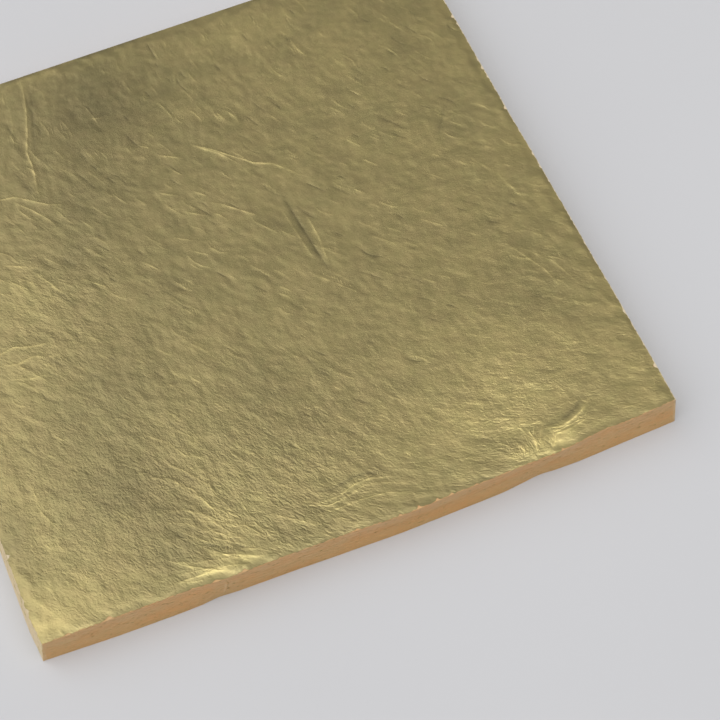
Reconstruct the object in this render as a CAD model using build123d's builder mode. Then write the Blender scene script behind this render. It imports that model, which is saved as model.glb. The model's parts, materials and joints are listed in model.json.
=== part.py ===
from build123d import *
import os

# Pad of metal leaf: a trimmed stack of square pages, gummed along its back edge.
# Each page is a sheet of tissue with a sheet of beaten leaf lying on it.
# X runs along the front edge, Y from the front edge to the gummed back edge, Z up.
# The origin is the centre of the footprint, on the surface that the pad lies on.

# Sheet sizes, in millimetres
sheet_side = 109.0  # from side to side, and from a front corner to the back edge
front_bow = 1.2  # how far the middle of the front edge swells out past the corners
tissue_thickness = 0.05
leaf_thickness = 0.01
gum_thickness = 0.25  # coat of padding gum on the trimmed back edges
front_stretch_count = 8  # straight stretches that the bowed front edge is cut in

# Pages, counted from 0 at the bottom
page_count = 100
lower_page_count = 48  # pages that stay down when the pad is opened in the middle
single_pages = ("second_page", "top_page")  # pages at the top, which turn one at a time

# Nodes that the sheets of each part are shared out over
lower_node_count = 12
upper_node_count = 13

# Footprint
overall_depth = front_bow + sheet_side + gum_thickness
side_x = sheet_side / 2
front_middle_y = -overall_depth / 2
front_corner_y = front_middle_y + front_bow
back_y = front_corner_y + sheet_side

# Heights
page_thickness = tissue_thickness + leaf_thickness
first_single_page = page_count - len(single_pages)

# Front edge from left to right, in straight stretches that follow its even bow
edge_shares = [
    2 * step / front_stretch_count - 1 for step in range(front_stretch_count + 1)
]
front_edge = [
    (side_x * share, front_corner_y - front_bow * (1 - share**2))
    for share in edge_shares
]

# Trimmed sheet from above
with BuildSketch() as sheet:
    with BuildLine():
        Polyline(*front_edge, (side_x, back_y), (-side_x, back_y), close=True)
    make_face()


def page_base(page):
    """Height of the underside of a page."""
    return page * page_thickness


def write_piece(part, name):
    """Labels a piece and writes it to its own file."""
    part.label = name
    export_step(part, f"parts/{name}.step")


def make_sheets(name, pages):
    """The tissues of some neighbouring pages, and the leaves that lie on them."""
    with BuildPart() as tissues:
        for page in pages:
            with BuildSketch(Plane.XY.offset(page_base(page))):
                add(sheet.sketch)
            extrude(amount=tissue_thickness)
    write_piece(tissues.part, f"tissue_{name}")

    with BuildPart() as leaves:
        for page in pages:
            with BuildSketch(Plane.XY.offset(page_base(page) + tissue_thickness)):
                add(sheet.sketch)
            extrude(amount=leaf_thickness)
    write_piece(leaves.part, f"gold_leaf_{name}")


def make_gum(name, bottom, top):
    """Strip of the gum coat on the back edges between two heights."""
    with BuildPart() as gum:
        with BuildSketch(Plane.XY.offset(bottom)):
            with Locations((0, back_y)):
                Rectangle(sheet_side, gum_thickness, align=(Align.CENTER, Align.MIN))
        extrude(amount=top - bottom)
    write_piece(gum.part, f"gum_{name}")


def make_block(name, first, end, nodes):
    """Pages from first up to end, shared out over some nodes, with their strip of gum."""
    starts = [first + (end - first) * node // nodes for node in range(nodes + 1)]
    for node in range(nodes):
        make_sheets(f"{name}_{node + 1:02d}", range(starts[node], starts[node + 1]))
    make_gum(name, page_base(first), page_base(end))


os.makedirs("parts", exist_ok=True)

# The lower block stays on the table, and the upper block turns over on its gummed edge
make_block("lower", 0, lower_page_count, lower_node_count)
make_block("upper", lower_page_count, first_single_page, upper_node_count)

# Single pages, each gummed up to the underside of the page above it
for place, name in enumerate(single_pages):
    page = first_single_page + place
    make_sheets(name, [page])
    make_gum(name, page_base(page), page_base(page + 1))
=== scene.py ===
import json

import bpy
import numpy as np
from mathutils import Matrix, Vector


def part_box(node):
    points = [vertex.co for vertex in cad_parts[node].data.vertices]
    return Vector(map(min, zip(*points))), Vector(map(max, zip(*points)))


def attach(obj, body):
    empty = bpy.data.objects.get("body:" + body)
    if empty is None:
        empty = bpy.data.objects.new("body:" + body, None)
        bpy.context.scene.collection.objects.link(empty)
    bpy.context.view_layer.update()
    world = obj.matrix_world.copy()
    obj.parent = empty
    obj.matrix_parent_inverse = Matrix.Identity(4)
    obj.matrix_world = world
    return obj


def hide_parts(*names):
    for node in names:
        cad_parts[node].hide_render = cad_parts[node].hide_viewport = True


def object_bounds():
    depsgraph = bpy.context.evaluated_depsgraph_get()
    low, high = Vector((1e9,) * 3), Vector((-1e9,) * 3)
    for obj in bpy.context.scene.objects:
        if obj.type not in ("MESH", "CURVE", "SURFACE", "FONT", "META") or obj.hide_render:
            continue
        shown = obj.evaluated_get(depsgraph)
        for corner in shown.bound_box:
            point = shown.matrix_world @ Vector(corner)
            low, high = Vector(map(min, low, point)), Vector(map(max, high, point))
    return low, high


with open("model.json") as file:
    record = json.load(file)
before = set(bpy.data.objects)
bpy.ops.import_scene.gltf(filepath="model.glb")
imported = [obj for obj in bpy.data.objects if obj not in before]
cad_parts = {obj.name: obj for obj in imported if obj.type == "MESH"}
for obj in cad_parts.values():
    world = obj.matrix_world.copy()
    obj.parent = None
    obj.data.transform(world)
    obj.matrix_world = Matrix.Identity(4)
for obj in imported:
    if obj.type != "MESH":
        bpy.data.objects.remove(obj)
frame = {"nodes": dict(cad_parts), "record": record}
cad_low, cad_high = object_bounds()

# Pad of metal leaf: a trimmed stack of square tissue pages, each with a sheet of beaten
# leaf lying on it, gummed along the back edge. Lengths are in metres. X runs along the
# front edge, Y from the front edge to the gummed back edge, and Z up.
mm = 0.001
record = frame["record"]

# The trimmed sheet, read from the frame
leaf_low, leaf_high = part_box("gold_leaf_top_page")
tissue_low, tissue_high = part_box("tissue_top_page")
side_x = leaf_high.x
back_y = leaf_high.y
corner_tolerance = 0.01 * mm
front_corner_y = min(
    vertex.co.y
    for vertex in frame["nodes"]["gold_leaf_top_page"].data.vertices
    if vertex.co.x > side_x - corner_tolerance
)
front_bow = front_corner_y - leaf_low.y
page_thickness = tissue_low.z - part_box("tissue_second_page")[0].z
tissue_thickness = tissue_high.z - tissue_low.z
leaf_thickness = leaf_high.z - leaf_low.z

# Trimmed edges
knife_waver = 0.06 * mm  # how far the knife strayed, the same for all the pages
page_waver = 0.02 * mm  # how far each page lies from the others
band_waver = 0.015 * mm  # how far bands of pages lie from each other
knife_waves = (1.3, 3.1, 6.7)
page_waves = (5, 17, 41)
band_pitch = 0.9 * mm
sharp_angle = np.radians(50)  # between a face and a cut edge
front_points = 150  # points along the front edge of a page inside the stack
side_points = 60

# How far the front stands out: pairs of x and this distance, in millimetres, for the
# bottom page and for the top page, and the share of the height that each spreads over
foot_line = (
    (-54.5, 0.06), (-42, 0.14), (-33, 0.06), (-28.2, -0.10), (-25.6, -0.42),
    (-22, -0.18), (-12, -0.14), (-6, 0.10), (5, 0.32), (15, 0.34),
    (23.5, 0.32), (26.5, 0.06), (30, -0.22), (33, 0.06), (37, 0.24),
    (54.5, 0.28),
)
head_line = (
    (-54.5, 0.40), (-50, 0.26), (-44, 0.06), (-36, -0.04), (-30, -0.20),
    (-24, 0.10), (-12, 0.04), (-3, 0.20), (3, 0.48), (8, 0.56),
    (14, 0.34), (26, 0.30), (33, 0.42), (37, 0.05), (41, -0.32),
    (46, -0.06), (54.5, -0.22),
)
line_reach = 0.55

# The left side leans out towards the bottom, and is rounded off at the front corner
left_lean = 0.76 * mm
left_corner_depth = 0.44 * mm
left_corner_share = 0.06

# Burr that a nick of the knife left on the front edge
burr_x = -24.6 * mm
burr_width = 0.14 * mm
burr_height = 0.09 * mm
burr_low_z = 1.2 * mm
burr_high_z = 4.8 * mm
burr_points = 13

# Leaf
leaf_inset = 0.07 * mm  # how far its edge lies inside the tissue's
leaf_ragged = 0.14 * mm
leaf_ragged_waves = (29, 53, 97, 171)
tear_count = 13  # small tears along each free edge of a leaf
tear_sizes = (0.15, 0.45)  # least and most width and depth, in millimetres
top_leaf_cells = 300
crease_layers = 6  # half for the scattered creases, and half for the fans and placed ones
far_away = 9.0  # offset from a crease, in half widths, where there is none
scattered_creases = 1300  # most that are tried, with ranges in millimetres and radians
scatter_span = 54
scatter_lengths = (1.5, 5.5)
scatter_heights = (0.010, 0.038)
scatter_widths = (0.20, 0.32)
scatter_bend = 0.45
crest_painted_light = 10.0  # painted highlight and shade: how much paler a crest is, and darker a furrow, for each millimetre of its height
inner_cells = 120
inner_relief = 0.028 * mm  # depth of the wrinkles of the pages inside
inner_seed = 71
leaf_rise = 0.15 * mm  # how high the top leaf's middle level stands over its tissue
least_rise = 0.012 * mm
soft_floor = 0.06 * mm  # hollows level out before they reach the tissue
rim_rise = 0.25  # share of that height which is left at the leaf's edge
rim_width = 3.0 * mm  # widest stretch along the edge that is turned down
side_margin = 0.05 * mm  # strip of tissue that the top leaf leaves bare at the right
left_reach = 0.13 * mm  # how much farther than the others the top leaf reaches at the left

# Tissue: painted pale sheen on its side edges, and on its faces this close to them
painted_sheen_width = 0.4 * mm
painted_sheen_colour = (0.67, 0.56, 0.38)

# Gum
gum_cells = 260
gum_row = 0.12 * mm
gum_streak = 0.05 * mm
gum_gap = 0.002 * mm  # left free at the top and bottom of each strip, so that none touch
gum_cover = 0.20 * mm  # how far the top leaf reaches back over the gum

# Camera, fitted to the corners and edges of the pad
camera_place = Vector((-54.12, -215.33, 315.65)) * mm
camera_forward = Vector((0.1750, 0.5135, -0.8401))
camera_up = Vector((0.3396, 0.7694, 0.5410))
sensor_width = 36.0
focal_pixels = 2231.4
picture_pixels = 720

# Floor and light
floor_size = 8.0
floor_colour = (0.60, 0.60, 0.615)
lamps = (  # name, strength, angle in degrees, and the direction that the light goes in
    ("key_lamp", 1.60, 90, (0.66, -0.25, -0.71)),
    ("fill_lamp", 1.10, 56, (-0.12, 0.40, -0.91)),
)

# Directions that the wrinkles run in: x and y in millimetres, and degrees from +X
wrinkle_directions = (
    (-45, 50, -95), (-25, 45, -100), (0, 45, -97), (40, 45, -70), (-45, 25, -60),
    (-30, 15, -45), (0, 15, -45), (20, 10, -62), (45, 12, -50), (-50, -5, -20),
    (-35, -5, -25), (-10, -5, -50), (-50, -25, -75), (-30, -25, -70), (-10, -25, -65),
    (10, -20, -75), (30, -15, -35), (45, -20, -60), (-50, -45, -65), (-30, -42, -55),
    (-5, -42, -35), (15, -40, -15), (35, -40, 0),
)

# Creases of the top leaf that show one by one: points in millimetres, height and half
# width in millimetres. A crease with a height below zero is a furrow.
creases = (
    # long ridge at the back left
    (((-23, 54), (-24, 48), (-25.5, 42.5), (-27, 38), (-27, 34.5), (-28, 28)), 0.085, 0.30),
    (((-21.8, 54), (-22.8, 48), (-24.5, 42), (-25.8, 37)), -0.030, 0.45),
    (((-26.5, 51), (-27.5, 45), (-29, 39)), 0.020, 0.30),
    # crossing pair below it
    (((-40, 29), (-34.5, 30), (-32, 29.5), (-29.5, 27.5), (-27, 25.5), (-24.5, 24.5)), 0.060, 0.27),
    (((-32.5, 28.5), (-30, 25.5), (-28, 22.5), (-27, 20)), 0.060, 0.26),
    (((-26.5, 25), (-25.5, 22), (-24.5, 20)), 0.040, 0.24),
    (((-23, 20), (-21.5, 17.5)), 0.040, 0.24),
    (((-24, 34), (-21, 30), (-19.5, 26)), 0.018, 0.30),
    # short strokes towards the middle
    (((-15, 41), (-12, 40)), 0.035, 0.26),
    (((-8.5, 31.5), (-6.5, 30)), 0.045, 0.26),
    (((-6, 28), (-4, 26.8), (-2, 25.5)), 0.050, 0.26),
    (((-5, 24.5), (-3.5, 22)), 0.040, 0.24),
    (((0, 28), (3, 25.5), (6, 22.5), (9, 19.5), (12, 18), (14.5, 15)), 0.080, 0.30),
    (((1, 27), (4, 24), (6.5, 20.5)), 0.045, 0.24),
    (((3.5, 25.5), (7, 21.5), (9.5, 18)), -0.035, 0.32),
    (((-8.5, 20), (-5.5, 18)), 0.045, 0.24),
    (((-3, 18), (-1, 16)), 0.045, 0.24),
    (((-1, 14.5), (1, 13), (3, 11), (5.5, 8.5)), 0.060, 0.27),
    (((-6, 14.5), (-2.5, 12)), 0.045, 0.25),
    (((-9.5, 10), (-6.5, 8)), 0.040, 0.25),
    (((-8, 6.5), (-5, 4)), 0.040, 0.25),
    (((3.5, 46), (2, 40.5)), 0.022, 0.30),
    (((5.5, 41.5), (4, 37)), 0.020, 0.30),
    # upright crease in the middle
    (((11, 10), (11.6, 3), (12, -2), (12.5, -7)), -0.075, 0.42),
    (((13.3, 5), (13.5, 0), (13, -6)), 0.050, 0.28),
    (((9.8, 8), (10.4, 2), (11, -4)), 0.028, 0.28),
    (((2, -20), (3, -24), (4, -27)), -0.030, 0.40),
    # right half
    (((45, 18), (43, 15), (41, 12)), -0.035, 0.40),
    (((30, 19), (33, 15.5), (37, 12)), 0.025, 0.30),
    (((42, -14), (46, -22), (47, -27)), 0.040, 0.28),
    (((44, -16), (48, -21), (50, -27)), 0.040, 0.28),
    (((43.5, 6), (47, 0), (49, -7)), 0.030, 0.28),
    # left edge
    (((-38.5, 16.5), (-33, 13.5)), 0.040, 0.25),
    (((-38.5, 13), (-36, 10)), 0.045, 0.25),
    (((-33.5, 12.5), (-31.5, 8.5), (-30.5, 6.5)), 0.050, 0.26),
    (((-27, 8.5), (-22.5, 4)), 0.040, 0.26),
    (((-45, -1), (-41.5, -0.5), (-39, -1.5), (-36, -2), (-34.5, -3.5)), 0.070, 0.27),
    (((-45, -3), (-42, -4), (-39, -3.5), (-36, -5)), 0.055, 0.26),
    (((-45, -6), (-41, -7.5), (-37, -8)), 0.040, 0.28),
    (((-47, -26.5), (-47, -32.5), (-45, -37.5)), 0.045, 0.28),
    # fan at the left of the front edge
    (((-23, -25.5), (-20.5, -28.5), (-19.5, -30.5)), 0.045, 0.25),
    (((-27.5, -25), (-24, -28.5), (-22.5, -31.5), (-19.5, -33.5)), 0.050, 0.25),
    (((-25.5, -32), (-23, -35), (-20.5, -39)), 0.055, 0.25),
    (((-26, -34.5), (-24.5, -37.5), (-22.5, -40.5), (-21, -44.5), (-17.5, -47.5), (-15.5, -49)),
     0.055, 0.27),
    (((-31, -32.5), (-26.5, -34.5), (-23.5, -38), (-22, -42), (-18, -46)), 0.060, 0.26),
    (((-25.5, -41), (-24, -44), (-23, -46.5), (-21, -48.5), (-18, -50)), 0.065, 0.25),
    (((-30.5, -40), (-26, -41), (-23, -43.5), (-19, -47.5)), 0.055, 0.25),
    (((-30.5, -41.5), (-26.5, -43.5), (-24, -46), (-19.5, -49)), 0.050, 0.25),
    (((-22, -45), (-20, -46.5), (-18, -47.5), (-16, -50.5), (-13, -51)), 0.060, 0.25),
    (((-26, -49.5), (-24.5, -50.5), (-22, -51.5), (-20, -52.5), (-17, -54)), 0.075, 0.30),
    (((-22.5, -49), (-20.5, -51), (-17, -52.6)), 0.060, 0.26),
    (((-28.5, -53), (-26.5, -53), (-24.5, -53), (-22, -53.4)), 0.070, 0.26),
    (((-31, -49), (-29, -50), (-28, -52)), 0.055, 0.25),
    (((-27, -54), (-29.5, -53.5), (-31.5, -52.5)), 0.060, 0.26),
    (((-25.5, -48), (-22, -50.2), (-18.5, -52)), -0.060, 0.36),
    # curved pair in the middle of the front edge
    (((-8, -47), (-6, -48.5), (-2.5, -48.5), (0.5, -47.5), (3, -47.5), (7, -48.5)), 0.080, 0.28),
    (((-8, -48), (-4.5, -49.5), (-0.5, -49), (2, -48.2), (5, -49), (9, -51)), 0.070, 0.26),
    (((-7, -50.5), (-4, -50.5), (0.5, -50.5), (5, -51), (9, -53)), 0.060, 0.26),
    (((-6.5, -46), (-3, -47), (1, -46.2), (6, -46.8)), -0.045, 0.36),
    (((-14, -47), (-10, -50), (-7, -52.5)), 0.050, 0.27),
    # flare at the right of the front edge
    (((29, -55), (28, -52.7), (27, -50.5)), 0.065, 0.22),
    (((29.3, -55), (28.9, -53), (28.5, -51.2)), 0.060, 0.20),
    (((29.6, -54.6), (30.2, -52.5), (31, -50.8)), 0.060, 0.22),
    (((28.6, -54.6), (27, -53), (25.2, -51.8)), 0.055, 0.22),
    (((31.5, -52), (32.2, -53.3), (32.4, -54.6)), -0.060, 0.24),
    (((32.5, -49.6), (34.5, -50), (37, -49.6), (39, -48.6), (41.5, -46.6)), -0.060, 0.42),
    (((33.5, -51.2), (36, -51), (39.5, -49.6), (42, -47.8)), 0.070, 0.24),
    (((33.2, -52), (36.5, -52), (40.5, -51)), 0.060, 0.24),
    (((31, -53.5), (29.5, -50), (29, -47.5)), 0.050, 0.22),
    (((27.5, -53.5), (25.8, -50.8), (24.5, -49.5)), 0.045, 0.22),
    (((33, -50.4), (35, -50.9), (38, -50.4), (41, -48.8)), 0.060, 0.26),
    (((28, -48), (29.5, -48), (31, -48.5), (33, -49)), 0.050, 0.25),
)
# Fans of fine creases: x and y of the middle, the first and last angle in degrees from +X,
# the nearest and farthest reach in millimetres, how many creases, and their height
fans = (
    (29.6, -56.0, 30, 165, 1.4, 7.0, 21, 0.046),
    (-12.5, -57.0, 116, 166, 5.0, 22.0, 15, 0.045),
)
fan_bend = 14.0  # degrees that a crease of a fan may turn by
bead_size = 1.4  # a crease rises and falls along its length, in steps of this many millimetres

# Soft swellings of the top leaf: x, y, radius along X and Y, and height, in millimetres
swellings = (
    (-23, -51.8, 6, 2.6, 0.15), (33.0, -52.4, 5.0, 2.2, 0.17), (-53.2, -43, 1.2, 2.0, 0.10),
    (-38, -1, 12, 9, 0.10), (-30, 30, 12, 9, 0.08), (6, 22, 9, 8, 0.08),
)

# Where the top leaf is wrinkled most: x, y and radius in millimetres, and strength
lively_places = (
    (-34, 6, 14, 0.20), (-38, -34, 20, 0.16), (-12, -45, 20, 0.24), (30, -48, 12, 0.20),
    (8, 2, 26, -0.16), (-21, -52.8, 5, -0.20), (33.5, -53, 4, -0.20),
)
calm_level = 0.84  # strength at the back edge
front_level = 1.0  # and at the front edge
grain_power = 4.0  # the finest grain fades faster towards the back

# Places where light and shade are painted on the top leaf, paler or deeper: x, y, radius along
# X and along Y in millimetres, and how much
painted_light_places = (
    (-12, 42, 11, 8, -0.30), (-22, 36, 20, 16, -0.10), (-20, 24, 9, 8, -0.11),
    (-36, 8, 6, 6, 0.20), (-27, -14, 11, 9, -0.16), (-42, -22, 7, 7, -0.14),
    (-32, -34, 9, 9, -0.34), (-29, -46, 6, 5, -0.20), (-53, -35, 3, 6, -0.24),
    (-50, -51, 7, 5, 0.20), (-52.5, -52.5, 3, 2.5, 0.14), (-6, -28, 9, 8, -0.12),
    (-10, -49, 6, 3, -0.12), (14, 50, 7, 5, 0.12), (23, 48, 7, 6, 0.12),
    (44, 24, 4, 16, -0.10), (28, -44, 13, 9, 0.20), (26, -52, 3.0, 2.0, -0.20),
    (30, -29, 10, 7, 0.10), (44, -22, 4, 7, -0.12), (-20, 54.4, 6, 1.2, 0.22),
    (-22, -52.8, 5, 2.0, 0.28), (33.5, -53.2, 3.8, 2.0, 0.42), (36.6, -49.4, 3.2, 1.0, -0.12),
    (-24, 14, 24, 30, -0.12), (48, 12, 22, 46, 0.16), (38, -44, 26, 14, 0.18),
    (24, 32, 26, 18, 0.06), (-16, 48, 12, 7, -0.07), (-27, -53, 6, 2, -0.08),
    (-28, 12, 6, 5, -0.12), (-28, -44, 6, 6, -0.08), (-10, -52.5, 7, 2.5, -0.10),
    (-2, -36, 8, 6, -0.08), (37, -51.6, 4, 1.4, 0.14),
)
edge_painted_light = 0.10  # painted light: the leaf is painted paler along its right edge
edge_painted_light_width = 4.0
front_painted_shade = -0.20  # painted shade: and painted deeper along its front edge
front_painted_shade_width = 1.1


def gradient_noise(x, y, seed):
    """Smooth noise from about -1 to 1, with one swell to a unit."""
    period = 64
    angles = np.random.default_rng(seed).random((period, period)) * 2 * np.pi
    column = np.floor(x).astype(int)
    row = np.floor(y).astype(int)
    along_x = x - column
    along_y = y - row

    def corner(step_x, step_y):
        angle = angles[(column + step_x) % period, (row + step_y) % period]
        return np.cos(angle) * (along_x - step_x) + np.sin(angle) * (along_y - step_y)

    ease_x = along_x**3 * (along_x * (along_x * 6 - 15) + 10)
    ease_y = along_y**3 * (along_y * (along_y * 6 - 15) + 10)
    front = corner(0, 0) + (corner(1, 0) - corner(0, 0)) * ease_x
    back = corner(0, 1) + (corner(1, 1) - corner(0, 1)) * ease_x
    return 1.6 * (front + (back - front) * ease_y)


def creased_noise(x, y, seed):
    """Noise with sharp crests where the smooth noise crosses zero."""
    return 0.6 - 2 * np.abs(gradient_noise(x, y, seed))


def waver(share, counts, seed):
    """Even wavering along an edge, from about -1 to 1, with these numbers of waves."""
    starts = np.random.default_rng(seed).random(len(counts))
    waves = [
        np.sin(2 * np.pi * (count * share + start))
        for count, start in zip(counts, starts)
    ]
    return sum(waves) / len(counts)


def eased(value, start, end):
    """0 before start and 1 after end, with a smooth rise between them."""
    share = np.clip((value - start) / (end - start), 0, 1)
    return share * share * (3 - 2 * share)


def knife_edge(side, share, page):
    """How far the trimmed edge of a page stands out, at shares along that side."""
    seed, page_seed = {"front": (11, 1000), "left": (12, 2000), "right": (13, 3000)}[side]
    height = page * page_thickness
    knife = knife_waver * waver(share, knife_waves, seed)
    band = band_waver * np.sin(2 * np.pi * height / band_pitch + seed)
    drift = band_waver * waver(share + height / (20 * mm), (2, 5), seed + 40)
    own = page_waver * waver(share, page_waves, page_seed + page)
    return knife + band * waver(share, (1, 3), seed + 60) + drift + own


def front_line(share, height):
    """How far a page stands out at the front, between the bottom line and the top one."""
    x = (2 * share - 1) * side_x / mm
    rise = height / cad_high.z
    foot = np.interp(x, *zip(*foot_line)) * (1 - eased(rise, 0, line_reach))
    head = np.interp(x, *zip(*head_line)) * eased(rise, 1 - line_reach, 1)
    return (foot + head) * mm


def left_line(share, height):
    """How far a page stands out at the left."""
    lean = left_lean * (1 - height / cad_high.z)
    corner = left_corner_depth * (1 - eased(share, 0, left_corner_share))
    return lean - corner


def burr(share, height):
    """Height of the burr on the front edge, steep at its left and gentle at its right."""
    x = (2 * share - 1) * side_x
    away = x - burr_x - 0.10 * (height - burr_low_z)
    tall = eased(height, burr_low_z, burr_low_z + 0.8 * mm)
    tall = tall * (1 - eased(height, burr_high_z - 0.8 * mm, burr_high_z))
    width = np.where(away < 0, burr_width, 3 * burr_width)
    return burr_height * tall * np.exp(-((away / width) ** 2))


def tissue_edge(page):
    """Functions for how far a tissue's front, left and right edges stand out."""
    height = page * page_thickness

    def front(share):
        out = knife_edge("front", share, page)
        return out + front_line(share, height) + burr(share, height)

    def left(share):
        return knife_edge("left", share, page) + left_line(share, height)

    def right(share):
        return knife_edge("right", share, page)

    return {"front": front, "left": left, "right": right}


def torn(share, seed):
    """Depth of the small tears along one edge of a leaf."""
    rng = np.random.default_rng(seed)
    places = rng.random(tear_count)
    widths = rng.uniform(*tear_sizes, tear_count) * mm / (2 * side_x)
    depths = rng.uniform(*tear_sizes, tear_count) * mm
    return sum(
        depth * np.exp(-(((share - place) / width) ** 2))
        for place, width, depth in zip(places, widths, depths)
    )


def leaf_edge(page):
    """Functions for how far a leaf's edges stand out: it lies just inside its tissue."""
    tissue = tissue_edge(page)

    def ragged(side, seed):
        def edge(share):
            ragged_out = leaf_ragged * waver(share, leaf_ragged_waves, seed + page)
            return tissue[side](share) - leaf_inset + ragged_out - torn(share, seed + page)

        return edge

    return {
        "front": ragged("front", 4000),
        "left": ragged("left", 5000),
        "right": ragged("right", 6000),
    }


def place_on_sheet(across, along, edge):
    """Points at shares across a sheet, left to right, and along it, front to back."""
    bowed = front_corner_y - front_bow * (1 - (2 * across - 1) ** 2)
    front = bowed - edge["front"](across)
    left = -side_x - edge["left"](along)
    right = side_x + edge["right"](along)
    x = left + (right - left) * across
    y = front + (back_y - front) * along
    return x, y


def mesh_piece(name, points, faces, smooth):
    """A mesh object. Faces are smooth where that list says so."""
    mesh = bpy.data.meshes.new(name)
    mesh.from_pydata(points, [], faces)
    mesh.polygons.foreach_set("use_smooth", smooth)
    mesh.update()
    mesh.set_sharp_from_angle(angle=sharp_angle)
    piece = bpy.data.objects.new(name, mesh)
    bpy.context.scene.collection.objects.link(piece)
    return piece


def flat_sheet(page, bottom, top, edge):
    """Points and faces of one page inside the stack: two flat faces and a cut edge."""
    burr_share = 0.5 + burr_x / (2 * side_x)
    burr_reach = 6 * burr_width / (2 * side_x)
    near_burr = np.linspace(burr_share - burr_reach, burr_share + burr_reach, burr_points)
    front_shares = np.union1d(np.linspace(0, 1, front_points), near_burr)
    side_shares = np.linspace(0, 1, side_points)[1:]
    across = np.concatenate([
        front_shares,
        np.ones(side_points - 1),
        np.zeros(side_points - 1),
    ])
    along = np.concatenate([np.zeros(len(front_shares)), side_shares, side_shares[::-1]])
    x, y = place_on_sheet(across, along, edge)
    count = len(x)
    low = np.column_stack([x, y, np.full(count, bottom)])
    high = np.column_stack([x, y, np.full(count, top)])
    following = [(place + 1) % count for place in range(count)]
    cut = [
        (place, after, after + count, place + count)
        for place, after in enumerate(following)
    ]
    faces = [tuple(range(count))[::-1], tuple(range(count, 2 * count)), *cut]
    return np.vstack([low, high]), faces, [False] * len(faces)


def grid_faces(rows, columns, start, upward):
    """Faces of a grid of points that are counted row by row."""
    corner = start + np.arange(rows * columns).reshape(rows, columns)[:-1, :-1]
    quads = np.stack([corner, corner + 1, corner + columns + 1, corner + columns], -1)
    quads = quads.reshape(-1, 4)
    return (quads if upward else quads[:, ::-1]).tolist()


def grid_ring(rows, columns):
    """The points round the rim of such a grid, anticlockwise from above."""
    place = np.arange(rows * columns).reshape(rows, columns)
    return np.concatenate([
        place[0, :-1],
        place[:-1, -1],
        place[-1, :0:-1],
        place[:0:-1, 0],
    ])


def sheet_grid(edge, cells):
    """X and Y of a grid of points on a sheet."""
    shares = np.linspace(0, 1, cells + 1)
    across, along = np.meshgrid(shares, shares)
    return place_on_sheet(across, along, edge)


def grid_sheet(x, y, bottom, top):
    """Points and faces of a sheet with a height above and below at each grid point."""
    rows, columns = x.shape
    high = np.column_stack([x.ravel(), y.ravel(), top.ravel()])
    low = np.column_stack([x.ravel(), y.ravel(), bottom.ravel()])
    count = rows * columns
    ring = grid_ring(rows, columns)
    after = np.roll(ring, -1)
    cut = np.column_stack([ring + count, after + count, after, ring]).tolist()
    above = grid_faces(rows, columns, 0, True)
    below = grid_faces(rows, columns, count, False)
    smooth = [True] * (len(above) + len(below)) + [False] * len(cut)
    return np.vstack([high, low]), above + below + cut, smooth


def flat_backed_sheet(x, y, bottom, top):
    """Points and faces of a sheet with a height at each grid point and a flat back."""
    rows, columns = x.shape
    count = rows * columns
    ring = grid_ring(rows, columns)
    high = np.column_stack([x.ravel(), y.ravel(), top.ravel()])
    low = high[ring] * (1, 1, 0) + (0, 0, bottom)
    place = np.arange(len(ring))
    low_place = place + count
    after = np.roll(place, -1)
    cut = np.column_stack([low_place, after + count, ring[after], ring]).tolist()
    above = grid_faces(rows, columns, 0, True)
    smooth = [True] * len(above) + [False] * (len(cut) + 1)
    return np.vstack([high, low]), above + cut + [low_place[::-1].tolist()], smooth


def powers(x, y, order):
    """Terms of a polynomial in X and Y, with their slopes along X and along Y."""
    terms, slopes_x, slopes_y = [], [], []
    for power_x in range(order + 1):
        for power_y in range(order + 1 - power_x):
            if power_x + power_y == 0:
                continue
            terms.append(x**power_x * y**power_y)
            slopes_x.append(power_x * x ** max(power_x - 1, 0) * y**power_y)
            slopes_y.append(power_y * x**power_x * y ** max(power_y - 1, 0))
    return np.array(terms), np.array(slopes_x), np.array(slopes_y)


def wrinkle_flow():
    """Fits two smooth maps to the wrinkle directions: across the wrinkles and along."""
    order = 5
    span = 55.0
    x, y = np.meshgrid(np.linspace(-1, 1, 25), np.linspace(-1, 1, 25))
    x, y = x.ravel(), y.ravel()
    weight_sum, lean_x, lean_y = 0, 0, 0
    for place_x, place_y, degrees in wrinkle_directions:
        away = np.hypot(x * span - place_x, y * span - place_y)
        weight = 1 / (away**2 + 40) ** 1.5
        weight_sum = weight_sum + weight
        lean_x = lean_x + weight * np.cos(np.radians(degrees))
        lean_y = lean_y + weight * np.sin(np.radians(degrees))
    length = np.hypot(lean_x, lean_y)
    lean_x, lean_y = lean_x / length, lean_y / length
    _, slopes_x, slopes_y = powers(x, y, order)
    along_slope = slopes_x * lean_x + slopes_y * lean_y
    across_slope = -slopes_x * lean_y + slopes_y * lean_x
    equations = np.hstack([along_slope, across_slope]).T
    zeros, ones = np.zeros(len(x)), np.full(len(x), span)
    across_fit = np.linalg.lstsq(equations, np.concatenate([zeros, ones]), rcond=None)[0]
    along_fit = np.linalg.lstsq(equations, np.concatenate([ones, zeros]), rcond=None)[0]

    def flow(place_x, place_y):
        shape = np.shape(place_x)
        terms, _, _ = powers(np.ravel(place_x) / span, np.ravel(place_y) / span, order)
        return (across_fit @ terms).reshape(shape), (along_fit @ terms).reshape(shape)

    return flow


flow_at = wrinkle_flow()


def new_layers(shape):
    """Empty layers for creases: offsets from a crest in half widths, and its heights."""
    return [(np.full(shape, far_away), np.zeros(shape)) for _ in range(crease_layers)]


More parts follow.
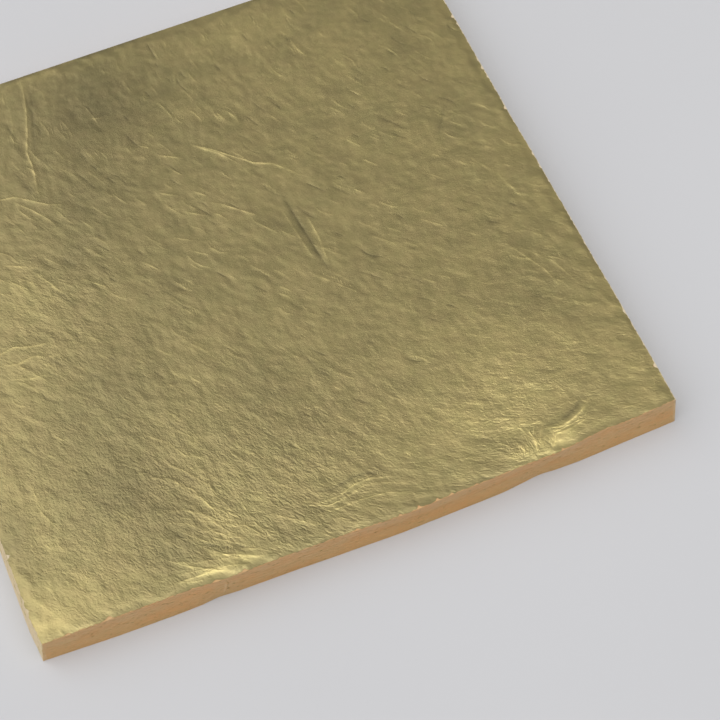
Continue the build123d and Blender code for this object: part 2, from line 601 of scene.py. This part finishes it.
def mark_crease(layer, x, y, points, height, half_width):
    """Marks one crease on a layer, with ends that fade."""
    offsets, heights = layer
    reach = 4 * half_width
    points = np.array(points, float)
    low = points.min(0) - reach
    high = points.max(0) + reach
    near = (x > low[0]) & (x < high[0]) & (y > low[1]) & (y < high[1])
    if not near.any():
        return
    place_x, place_y = x[near], y[near]
    steps = np.diff(points, axis=0)
    lengths = np.hypot(steps[:, 0], steps[:, 1])
    travelled = np.concatenate([[0], np.cumsum(lengths)])
    least = np.full(place_x.shape, 1e9)
    side = np.ones(place_x.shape)
    share = np.zeros(place_x.shape)
    for start, step, length, before in zip(points, steps, lengths, travelled):
        from_x, from_y = place_x - start[0], place_y - start[1]
        along = np.clip((from_x * step[0] + from_y * step[1]) / length**2, 0, 1)
        away = np.hypot(from_x - along * step[0], from_y - along * step[1])
        closer = away < least
        least = np.where(closer, away, least)
        side = np.where(closer, np.sign(step[0] * from_y - step[1] * from_x), side)
        share = np.where(closer, (before + along * length) / travelled[-1], share)
    fade = np.clip(share * (1 - share) * 4, 0, 1) ** 0.6
    fade = fade * (1 - eased(least, 0.6 * reach, reach))
    beads = 0.8 + 0.5 * gradient_noise(place_x / bead_size, place_y / bead_size, 28)
    closer = least / half_width < np.abs(offsets[near])
    offsets[near] = np.where(closer, least * side / half_width, offsets[near])
    heights[near] = np.where(closer, height * fade * beads, heights[near])


def liveliness(x, y):
    """How strongly the leaf is wrinkled: calm at the back, and lively at the front."""
    strength = front_level + (calm_level - front_level) * eased(y, -50, 45)
    for place_x, place_y, radius, extra in lively_places:
        away = ((x - place_x) ** 2 + (y - place_y) ** 2) / radius**2
        strength = strength + extra * np.exp(-away)
    return strength


def scatter_creases(layers, x, y, count, seed):
    """Marks short creases at random places, each along the run of the wrinkles."""
    rng = np.random.default_rng(seed)
    for number in range(count):
        start = rng.uniform(-scatter_span, scatter_span, 2)
        length = rng.uniform(*scatter_lengths)
        height = rng.uniform(*scatter_heights) * rng.choice((1, 1, -1))
        half_width = rng.uniform(*scatter_widths)
        bend = rng.uniform(-scatter_bend, scatter_bend)
        chance = rng.random()
        if chance > 0.8 * liveliness(start[:1], start[1:])[0]:
            continue
        points = [start]
        for part in range(3):
            points.append(points[-1] + flow_step(points[-1], length / 3, bend * (part - 1)))
        layer = layers[number % (crease_layers // 2)]
        mark_crease(layer, x, y, points, height, half_width)


def flow_step(place, length, turn):
    """A step from a place along the run of the wrinkles, turned by a small angle."""
    reach = 0.5
    side = np.array([[reach, 0], [-reach, 0], [0, reach], [0, -reach]]) + place
    across, _ = flow_at(side[:, 0], side[:, 1])
    slope = np.array([across[0] - across[1], across[2] - across[3]])
    slope = slope / np.hypot(*slope)
    cosine, sine = np.cos(turn), np.sin(turn)
    run = np.array([slope[1], -slope[0]])
    run = np.array([run[0] * cosine - run[1] * sine, run[0] * sine + run[1] * cosine])
    return run * length


def fan_creases():
    """Fine creases that run out from the middle of each fan, as points, height and width."""
    rng = np.random.default_rng(33)
    made = []
    for middle_x, middle_y, first, last, near, far, count, height in fans:
        for degrees in np.linspace(first, last, count):
            start = rng.uniform(near, 0.5 * (near + far))
            stop = start + rng.uniform(0.4, 0.75) * (far - near)
            bend = rng.uniform(-fan_bend, fan_bend)
            reaches = np.linspace(start, stop, 4)
            angles = np.radians(degrees + bend * np.linspace(0, 1, 4))
            x = middle_x + reaches * np.cos(angles)
            y = middle_y + reaches * np.sin(angles)
            points = np.column_stack([x, y])
            made.append((points, height * rng.uniform(0.5, 1.2), rng.uniform(0.17, 0.23)))
    return made


def with_spots(level, x, y, places):
    """A level with soft oval spots added: x, y, radius along X and along Y, and strength."""
    for place_x, place_y, radius_x, radius_y, strength in places:
        away = ((x - place_x) / radius_x) ** 2 + ((y - place_y) / radius_y) ** 2
        level = level + strength * np.exp(-away)
    return level


def top_leaf_relief(x, y):
    """Height of the top leaf over its tissue, in millimetres, at points in millimetres."""
    across, along = flow_at(x, y)
    lively = liveliness(x, y)
    relief = 0.060 * gradient_noise(x / 30, y / 30, 21)
    relief = relief + 0.036 * gradient_noise(across / 9, along / 13, 22)
    for pattern, height, width, length, seed in (
        (gradient_noise, 0.045, 3.4, 4.6, 23),
        (creased_noise, 0.031, 1.9, 2.7, 24),
        (creased_noise, 0.018, 1.2, 1.6, 25),
    ):
        relief = relief + height * lively * pattern(across / width, along / length, seed)
    return with_spots(relief, x, y, swellings)


def edge_distance(x, y):
    """Distance of each grid point from the nearest edge of its sheet."""
    left = x - x[:, :1]
    right = x[:, -1:] - x
    front = y - y[:1, :]
    back = y[-1:, :] - y
    return np.minimum(np.minimum(left, right), np.minimum(front, back))


def top_leaf_heights(x, y, base):
    """Heights of the top leaf: wrinkled, and turned down along its edges."""
    relief = top_leaf_relief(x / mm, y / mm) * mm + leaf_rise
    uneven = gradient_noise(x / (3.1 * mm), y / (3.1 * mm), 29)
    width = rim_width * np.clip(0.55 + 0.9 * uneven, 0.22, 1)
    down = rim_rise + (1 - rim_rise) * eased(edge_distance(x, y) / width, 0, 1)
    rise = (relief + np.hypot(relief, soft_floor)) / 2 * down + least_rise
    return base + rise


def leaf_painted_light(x, y):
    """Painted light and shade: how pale the top leaf is painted, at points in millimetres: 1 on the
    whole.
    """
    depth = with_spots(0 * x, x, y, painted_light_places)
    depth = depth + edge_painted_light * np.exp(-(((side_x / mm - x) / edge_painted_light_width) ** 2))
    front = (front_corner_y - front_bow * (1 - (x * mm / side_x) ** 2)) / mm
    depth = depth + front_painted_shade * np.exp(-(((y - front) / front_painted_shade_width) ** 2))
    return np.exp(depth)


def inner_wrinkles(x, y, seed):
    """Depth of the wrinkles of a page inside the pad, as shares of the deepest."""
    across, along = flow_at(x / mm, y / mm)
    turned, straight = (across, along) if seed % 2 else (along, across)
    depth = 0.5 + 0.22 * gradient_noise(turned / 7, straight / 13, seed)
    depth = depth + 0.16 * creased_noise(turned / 2.4, straight / 6.5, seed + 1)
    depth = depth + 0.08 * gradient_noise(turned / 1.4, straight / 3.2, seed + 2)
    return np.clip(depth, 0, 1)


def add_values(mesh, name, values):
    """Stores one number at each point of a mesh, for its material."""
    attribute = mesh.attributes.new(name, "FLOAT", "POINT")
    attribute.data.foreach_set("value", np.ravel(values).astype(np.float32))


def point_places(mesh):
    """X and Y of a mesh's points, in millimetres."""
    place = np.empty(len(mesh.vertices) * 3)
    mesh.vertices.foreach_get("co", place)
    x, y, _ = place.reshape(-1, 3).T / mm
    return x, y


def add_flow_map(piece):
    """Stores the run of the wrinkles as a map, for the fine grain in the material."""
    mesh = piece.data
    x, y = point_places(mesh)
    across, along = flow_at(x, y)
    corner = np.empty(len(mesh.loops), int)
    mesh.loops.foreach_get("vertex_index", corner)
    layer = mesh.uv_layers.new(name="wrinkle_flow")
    pair = np.column_stack([across[corner], along[corner]]) / 100
    layer.data.foreach_set("uv", pair.ravel().astype(np.float32))
    add_values(mesh, "wrinkle_strength", liveliness(x, y) ** grain_power)


def add_top_leaf_maps(piece):
    """Stores the creases and the painted light and shade of the top leaf, for its material."""
    mesh = piece.data
    x, y = point_places(mesh)
    layers = new_layers(x.shape)
    scatter_creases(layers, x, y, scattered_creases, 27)
    for number, (points, height, half_width) in enumerate([*fan_creases(), *creases]):
        layer = layers[-1 - number % (crease_layers // 2)]
        mark_crease(layer, x, y, points, height, half_width)
    for number, (offsets, heights) in enumerate(layers):
        add_values(mesh, f"crease_offset_{number}", offsets)
        add_values(mesh, f"crease_height_{number}", heights)
    add_values(mesh, "leaf_painted_light", leaf_painted_light(x, y))


def set_inputs(tree, node, inputs):
    """Sets the inputs of a node to values, or links them to the outputs of others."""
    for socket, value in inputs.items():
        if isinstance(value, bpy.types.NodeSocket):
            tree.links.new(value, node.inputs[socket])
        else:
            node.inputs[socket].default_value = value


def add_node(tree, kind, inputs=None, **settings):
    """A shader node with its settings, and the values or links of its inputs."""
    node = tree.nodes.new(kind)
    for name, value in settings.items():
        setattr(node, name, value)
    set_inputs(tree, node, inputs or {})
    return node


def ramp(tree, value, stops):
    """A colour ramp. Stops are pairs of a place from 0 to 1 and a colour."""
    node = add_node(tree, "ShaderNodeValToRGB", {"Fac": value})
    elements = node.color_ramp.elements
    while len(elements) < len(stops):
        elements.new(1)
    for element, (place, colour) in zip(elements, stops):
        element.position = place
        element.color = (*colour, 1)
    return node.outputs["Color"]


def noise(tree, vector, scale, detail=3.0, roughness=0.5, distortion=0.0):
    """Procedural noise, stretched by a different scale along each axis."""
    mapped = add_node(tree, "ShaderNodeMapping", {"Vector": vector, "Scale": scale})
    node = add_node(
        tree,
        "ShaderNodeTexNoise",
        {
            "Vector": mapped.outputs["Vector"],
            "Scale": 1.0,
            "Detail": detail,
            "Roughness": roughness,
            "Distortion": distortion,
        },
    )
    return node.outputs["Fac"]


def mixed(tree, factor, first, second, blend="MIX"):
    """Two colours mixed by a factor."""
    inputs = {0: factor, 6: first, 7: second}
    node = add_node(tree, "ShaderNodeMix", inputs, data_type="RGBA", blend_type=blend)
    return node.outputs[2]


def tinted(tree, colour, tint):
    """A colour multiplied by another one."""
    return mixed(tree, 1.0, colour, tint, "MULTIPLY")


def bump(tree, height, distance, normal=None):
    """Small relief from a height pattern. The distance is in metres."""
    inputs = {"Height": height, "Distance": distance, "Strength": 1.0}
    if normal is not None:
        inputs["Normal"] = normal
    return add_node(tree, "ShaderNodeBump", inputs).outputs["Normal"]


def new_material(name):
    """A material with its node tree, its main shader and the object's coordinates."""
    material = bpy.data.materials.new(name)
    material.use_nodes = True
    tree = material.node_tree
    shader = tree.nodes["Principled BSDF"]
    place = add_node(tree, "ShaderNodeTexCoord").outputs["Object"]
    return material, tree, shader, place


def range_of(tree, value, low, high):
    """A pattern from 0.3 to 0.7 spread over the range from low to high."""
    inputs = {"Value": value, "From Min": 0.3, "From Max": 0.7, "To Min": low, "To Max": high}
    return add_node(tree, "ShaderNodeMapRange", inputs).outputs["Result"]


def calculated(tree, operation, first, second=0.0):
    """The result of one sum, with numbers or patterns."""
    inputs = {0: first, 1: second}
    return add_node(tree, "ShaderNodeMath", inputs, operation=operation).outputs[0]


def scaled(tree, height, strength):
    """A height pattern multiplied by a strength that changes over the surface."""
    return calculated(tree, "MULTIPLY", height, strength)


def stored(tree, name):
    """Numbers that were stored on the mesh under this name."""
    return add_node(tree, "ShaderNodeAttribute", attribute_name=name).outputs["Fac"]


def crinkles(tree, vector, scale, detail, distortion):
    """Height pattern of short curly crinkles with narrow rounded crests."""
    level = noise(tree, vector, scale, detail, 0.5, distortion)
    away = calculated(tree, "SUBTRACT", level, 0.5)
    away = calculated(tree, "ADD", calculated(tree, "MULTIPLY", away, away), 0.002)
    return calculated(tree, "SUBTRACT", 0.5, calculated(tree, "SQRT", away))


def crease_heights(tree):
    """Heights of the stored creases, each with a crisp rounded crest."""
    total = None
    for number in range(crease_layers):
        offset = stored(tree, f"crease_offset_{number}")
        away = calculated(tree, "ADD", calculated(tree, "MULTIPLY", offset, offset), 0.08)
        away = calculated(tree, "MULTIPLY", calculated(tree, "SQRT", away), -1.25)
        crest = calculated(tree, "EXPONENT", away)
        height = calculated(tree, "MULTIPLY", crest, stored(tree, f"crease_height_{number}"))
        total = height if total is None else calculated(tree, "ADD", total, height)
    return total


def leaf_material(top):
    """Beaten leaf: satin gold metal with a fine grain of wrinkles and a soft clear coat."""
    material, tree, shader, place = new_material("wrinkled_leaf" if top else "beaten_leaf")
    flow = add_node(tree, "ShaderNodeUVMap", uv_map="wrinkle_flow").outputs["UV"]
    strength = stored(tree, "wrinkle_strength")
    cloud = noise(tree, place, (90, 90, 90), 4, 0.6)
    mottle = noise(tree, place, (420, 420, 420), 2, 0.55)
    tone = ramp(tree, cloud, (
        (0.34, (0.394, 0.323, 0.126)),
        (0.50, (0.416, 0.337, 0.130)),
        (0.66, (0.437, 0.351, 0.138)),
    ))
    patch = ramp(tree, mottle, (
        (0.36, (0.965, 0.980, 0.960)),
        (0.50, (1.0, 1.0, 1.0)),
        (0.64, (1.015, 1.0, 1.015)),
    ))
    colour = tinted(tree, tone, patch)
    if top:
        # The top leaf's colour carries painted light and shade, paler and deeper in places
        colour = tinted(tree, colour, stored(tree, "leaf_painted_light"))
        creased = crease_heights(tree)
        # Painted highlight on the crests and painted shade in the furrows
        painted_crest_light = calculated(tree, "MULTIPLY", creased, crest_painted_light)
        painted_crest_light = calculated(tree, "MAXIMUM", calculated(tree, "ADD", painted_crest_light, 1.0), 0.7)
        colour = tinted(tree, colour, painted_crest_light)
    satin = range_of(tree, noise(tree, place, (260, 260, 260), 3, 0.6), 0.32, 0.42)
    strokes = crinkles(tree, flow, (130, 75, 1), 1, 0.5)
    grain = noise(tree, flow, (240, 165, 1), 3, 0.52, 0.6)
    pits = noise(tree, place, (4200, 4200, 4200), 1, 0.5)
    normal = bump(tree, scaled(tree, strokes, strength), 0.055 * mm)
    normal = bump(tree, scaled(tree, grain, strength), 0.034 * mm, normal)
    normal = bump(tree, scaled(tree, pits, strength), 0.008 * mm, normal)
    if top:
        normal = bump(tree, creased, 1.0 * mm, normal)
    else:
        normal = bump(tree, noise(tree, flow, (24, 17, 1), 2, 0.5, 0.4), 0.28 * mm, normal)
        normal = bump(tree, crinkles(tree, flow, (52, 34, 1), 2, 0.6), 0.15 * mm, normal)
    set_inputs(tree, shader, {
        "Base Color": colour,
        "Metallic": 1.0,
        "Roughness": satin,
        "Normal": normal,
        "Coat Normal": normal,
        "Coat Weight": 1.0,
        "Coat Roughness": 0.35,
    })
    return material


def tissue_material():
    """Orange tissue: fibres, a tone that follows the height, and painted pale sheen on its sides.
    """
    material, tree, shader, place = new_material("orange_tissue")
    parts = add_node(tree, "ShaderNodeSeparateXYZ", {"Vector": place})
    share = calculated(tree, "DIVIDE", parts.outputs["Z"], cad_high.z)
    bands = ramp(tree, share, (
        (0.0, (0.59, 0.362, 0.145)),
        (0.22, (0.62, 0.385, 0.165)),
        (0.60, (0.63, 0.395, 0.178)),
        (0.92, (0.64, 0.400, 0.190)),
        (1.0, (0.64, 0.400, 0.190)),
    ))
    strata = noise(tree, place, (900, 900, 2600), 4, 0.7, 0.1)
    layers = ramp(tree, strata, ((0.3, (0.95, 0.95, 0.94)), (0.7, (1.05, 1.05, 1.06))))
    blotches = noise(tree, place, (160, 160, 400), 3, 0.6)
    stains = ramp(tree, blotches, ((0.32, (1.04, 0.96, 0.89)), (0.68, (0.97, 1.02, 1.05))))
    colour = tinted(tree, tinted(tree, bands, layers), stains)
    outward = add_node(tree, "ShaderNodeTexCoord").outputs["Normal"]
    turned = add_node(tree, "ShaderNodeSeparateXYZ", {"Vector": outward})
    # Painted sheen: faces that look left or right, and a strip of the flat faces beside them, are
    # painted pale cream
    facing = calculated(tree, "ABSOLUTE", turned.outputs["X"])
    upward = calculated(tree, "ABSOLUTE", turned.outputs["Z"])
    beside = calculated(tree, "ABSOLUTE", parts.outputs["X"])
    margin = calculated(tree, "GREATER_THAN", beside, side_x - painted_sheen_width)
    margin = calculated(tree, "MULTIPLY", margin, upward)
    painted_sheen = calculated(tree, "MAXIMUM", facing, margin)
    colour = mixed(tree, painted_sheen, colour, (*painted_sheen_colour, 1))
    matt = range_of(tree, noise(tree, place, (700, 700, 700), 2), 0.48, 0.62)
    fibres = noise(tree, place, (900, 2600, 2600), 3, 0.65, 1.2)
    normal = bump(tree, fibres, 0.02 * mm)
    soft = scaled(tree, noise(tree, place, (70, 110, 70), 3, 0.55, 0.5), upward)
    set_inputs(tree, shader, {
        "Base Color": colour,
        "Roughness": matt,
        "Specular IOR Level": 0.35,
        "Normal": bump(tree, soft, 0.30 * mm, normal),
    })
    return material


def gum_material():
    """Padding gum: a thin amber film with brush streaks over the cut edges."""
    material, tree, shader, place = new_material("padding_gum")
    streaks = noise(tree, place, (55, 900, 1900), 4, 0.6, 0.3)
    clouds = noise(tree, place, (110, 110, 300), 3, 0.6)
    thick = ramp(tree, streaks, ((0.3, (0.50, 0.27, 0.10)), (0.7, (0.62, 0.37, 0.15))))
    thin = ramp(tree, clouds, ((0.3, (0.90, 0.86, 0.80)), (0.7, (1.06, 1.06, 1.04))))
    set_inputs(tree, shader, {
        "Base Color": tinted(tree, thick, thin),
        "Roughness": range_of(tree, streaks, 0.22, 0.42),
        "Normal": bump(tree, streaks, 0.03 * mm),
    })
    return material


def floor_material():
    """Matt pale grey table top."""
    material, tree, shader, place = new_material("pale_table")
    soft = noise(tree, place, (9, 9, 9), 2)
    shade = ramp(tree, soft, (
        (0.3, tuple(0.985 * part for part in floor_colour)),
        (0.7, tuple(1.015 * part for part in floor_colour)),
    ))
    set_inputs(tree, shader, {
        "Base Color": shade,
        "Roughness": 0.85,
        "Specular IOR Level": 0.2,
    })
    return material


materials = {
    "wrinkled_leaf": leaf_material(top=True),
    "beaten_leaf": leaf_material(top=False),
    "tissue_sheets": tissue_material(),
    "gum_film": gum_material(),
}
slots = {
    "wrinkled_leaf": "gold_leaf",
    "beaten_leaf": "gold_leaf",
    "tissue_sheets": "tissue",
    "gum_film": "gum",
}
body_of_node = {
    node: body
    for body, nodes in record["behaviour"]["bodies"].items()
    for node in nodes
}


def join_sheets(sheets):
    """Several sheets as one list of points, faces and smooth marks."""
    points, faces, smooth = [], [], []
    start = 0
    for sheet_points, sheet_faces, sheet_smooth in sheets:
        points.append(sheet_points)
        faces.extend([[start + place for place in face] for face in sheet_faces])
        smooth.extend(sheet_smooth)
        start += len(sheet_points)
    return np.vstack(points), faces, smooth


def dress(kind, node, made):
    """Makes a piece from its points and faces, and has it stand for a CAD node."""
    place_name = node.removeprefix(slots[kind] + "_")
    piece = mesh_piece(f"{kind}_{place_name}", *made)
    piece.data.materials.append(materials[kind])
    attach(piece, body_of_node[node])
    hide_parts(node)
    return piece


def pages_of(node):
    """Numbers of the pages in a node of tissue or leaf, from the lowest up."""
    low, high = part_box(node)
    first = int(low.z / page_thickness + 0.01)
    last = int((high.z - 0.5 * leaf_thickness) / page_thickness)
    return range(first, last + 1)


def page_relief(page, x, y):
    """Depth of an open page's wrinkles."""
    return inner_relief * inner_wrinkles(x, y, inner_seed + page % 7)


def tissue_sheet(page, shown_above, shown_below):
    """One tissue. Where it can be seen its face is wrinkled, and else it is flat."""
    bottom = page * page_thickness
    top = bottom + tissue_thickness
    edge = tissue_edge(page)
    if not (shown_above or shown_below):
        return flat_sheet(page, bottom, top, edge)
    x, y = sheet_grid(edge, inner_cells)
    above = page_relief(page, x, y) if shown_above else 0 * x
    below = 0.4 * page_relief(page + 1, x, y) if shown_below else 0 * x
    return grid_sheet(x, y, bottom + below, top - above)


def leaf_sheet(page, shown):
    """One leaf inside the pad, sunk in the wrinkles of its tissue where it can be seen."""
    bottom = page * page_thickness + tissue_thickness
    top = bottom + leaf_thickness
    edge = leaf_edge(page)
    if not shown:
        return flat_sheet(page, bottom, top, edge)
    x, y = sheet_grid(edge, inner_cells)
    depth = page_relief(page, x, y)
    return grid_sheet(x, y, bottom - depth, top - depth)


def make_top_leaf(node):
    """The leaf on top of the pad, with its wrinkles in the mesh."""
    page = round(leaf_high.z / page_thickness) - 1
    edge = leaf_edge(page)
    shifted = {
        "front": edge["front"],
        "left": lambda share: edge["left"](share) + left_reach,
        "right": lambda share: edge["right"](share) - side_margin,
    }
    x, y = sheet_grid(shifted, top_leaf_cells)
    y = y + gum_cover * eased(y, back_y - 2 * mm, back_y)
    top = top_leaf_heights(x, y, leaf_low.z)
    made = flat_backed_sheet(x, y, leaf_low.z, top)
    piece = dress("wrinkled_leaf", node, made)
    add_flow_map(piece)
    add_top_leaf_maps(piece)


def make_stacks():
    """All tissues and leaves, node by node."""
    opened_above = {
        pages_of(node)[-1]
        for node in ("tissue_lower_12", "tissue_upper_13", "tissue_second_page")
    }
    top_page = pages_of("tissue_top_page")[0]
    seen_below = {page + 1 for page in opened_above}
    for node in frame["nodes"]:
        if node == "gold_leaf_top_page":
            make_top_leaf(node)
        elif node.startswith("tissue_"):
            sheets = [
                tissue_sheet(page, page in opened_above or page == top_page, page in seen_below)
                for page in pages_of(node)
            ]
            dress("tissue_sheets", node, join_sheets(sheets))
        elif node.startswith("gold_leaf_"):
            sheets = [leaf_sheet(page, page in opened_above) for page in pages_of(node)]
            add_flow_map(dress("beaten_leaf", node, join_sheets(sheets)))


def make_gum(node):
    """A strip of padding gum: a film over the cut edges, with streaks of the brush."""
    low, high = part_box(node)
    rows = max(1, round((high.z - low.z) / gum_row))
    heights = np.linspace(low.z + gum_gap, high.z - gum_gap, rows + 1)
    x = np.linspace(low.x, high.x, gum_cells + 1)
    place_x, place_z = np.meshgrid(x, heights, indexing="ij")
    streaks = gradient_noise(place_x / (14 * mm), place_z / (0.5 * mm), 81)
    drips = gradient_noise(place_x / (4 * mm), place_z / (2.5 * mm), 82)
    inward = gum_streak * np.clip(0.5 + 0.35 * streaks + 0.3 * drips, 0, 1)
    outer = np.stack([place_x, high.y - inward, place_z], -1)
    inner_low = np.stack([x, np.full(x.shape, low.y), np.full(x.shape, heights[0])], -1)
    inner_high = np.stack([x, np.full(x.shape, low.y), np.full(x.shape, heights[-1])], -1)
    loops = np.concatenate([inner_low[:, None], outer, inner_high[:, None]], 1)
    count = rows + 3
    faces, smooth = [], []
    for station in range(gum_cells):
        for corner in range(count):
            after = (corner + 1) % count
            start = station * count
            faces.append((start + corner, start + count + corner,
                          start + count + after, start + after))
            smooth.append(0 < corner < rows + 1)
    faces.append(tuple(range(count)))
    faces.append(tuple(gum_cells * count + corner for corner in range(count))[::-1])
    smooth += [False, False]
    made = (loops.reshape(-1, 3), faces, smooth)
    dress("gum_film", node, made)


def make_floor():
    """A plain pale floor."""
    half = floor_size / 2
    points = [(-half, -half, 0), (half, -half, 0), (half, half, 0), (-half, half, 0)]
    floor = mesh_piece("floor", points, [(0, 1, 2, 3)], [False])
    floor.data.materials.append(floor_material())


def make_light():
    """A dim room and two broad soft lamps."""
    world = bpy.data.worlds.new("soft_room")
    world.use_nodes = True
    bpy.context.scene.world = world
    tree = world.node_tree
    seen = add_node(tree, "ShaderNodeTexCoord").outputs["Generated"]
    height = add_node(tree, "ShaderNodeSeparateXYZ", {"Vector": seen}).outputs["Z"]
    level = ramp(tree, height, (
        (0.0, (0.56, 0.56, 0.57)),
        (0.35, (0.27, 0.27, 0.27)),
        (0.62, (0.29, 0.29, 0.29)),
        (0.80, (0.35, 0.35, 0.35)),
        (1.0, (0.52, 0.52, 0.52)),
    ))
    tree.links.new(level, tree.nodes["Background"].inputs["Color"])
    for name, strength, degrees, direction in lamps:
        lamp = bpy.data.lights.new(name, "SUN")
        lamp.energy = strength
        lamp.angle = np.radians(degrees)
        holder = bpy.data.objects.new(name, lamp)
        holder.rotation_mode = "QUATERNION"
        holder.rotation_quaternion = Vector(direction).to_track_quat("-Z", "Y")
        bpy.context.scene.collection.objects.link(holder)


def make_camera():
    """The photograph's view."""
    camera = bpy.data.cameras.new("camera")
    camera.sensor_width = sensor_width
    camera.lens = sensor_width * focal_pixels / picture_pixels
    camera.clip_start = 0.01
    holder = bpy.data.objects.new("camera", camera)
    side = camera_forward.cross(camera_up).normalized()
    up = side.cross(camera_forward).normalized()
    turn = Matrix((side, up, -camera_forward)).transposed().to_4x4()
    holder.matrix_world = Matrix.Translation(camera_place) @ turn
    bpy.context.scene.collection.objects.link(holder)
    bpy.context.scene.camera = holder


make_camera()
make_floor()
make_light()
make_stacks()
for gum_node in ("gum_lower", "gum_upper", "gum_second_page", "gum_top_page"):
    make_gum(gum_node)

bpy.context.scene.view_settings.view_transform = "Standard"
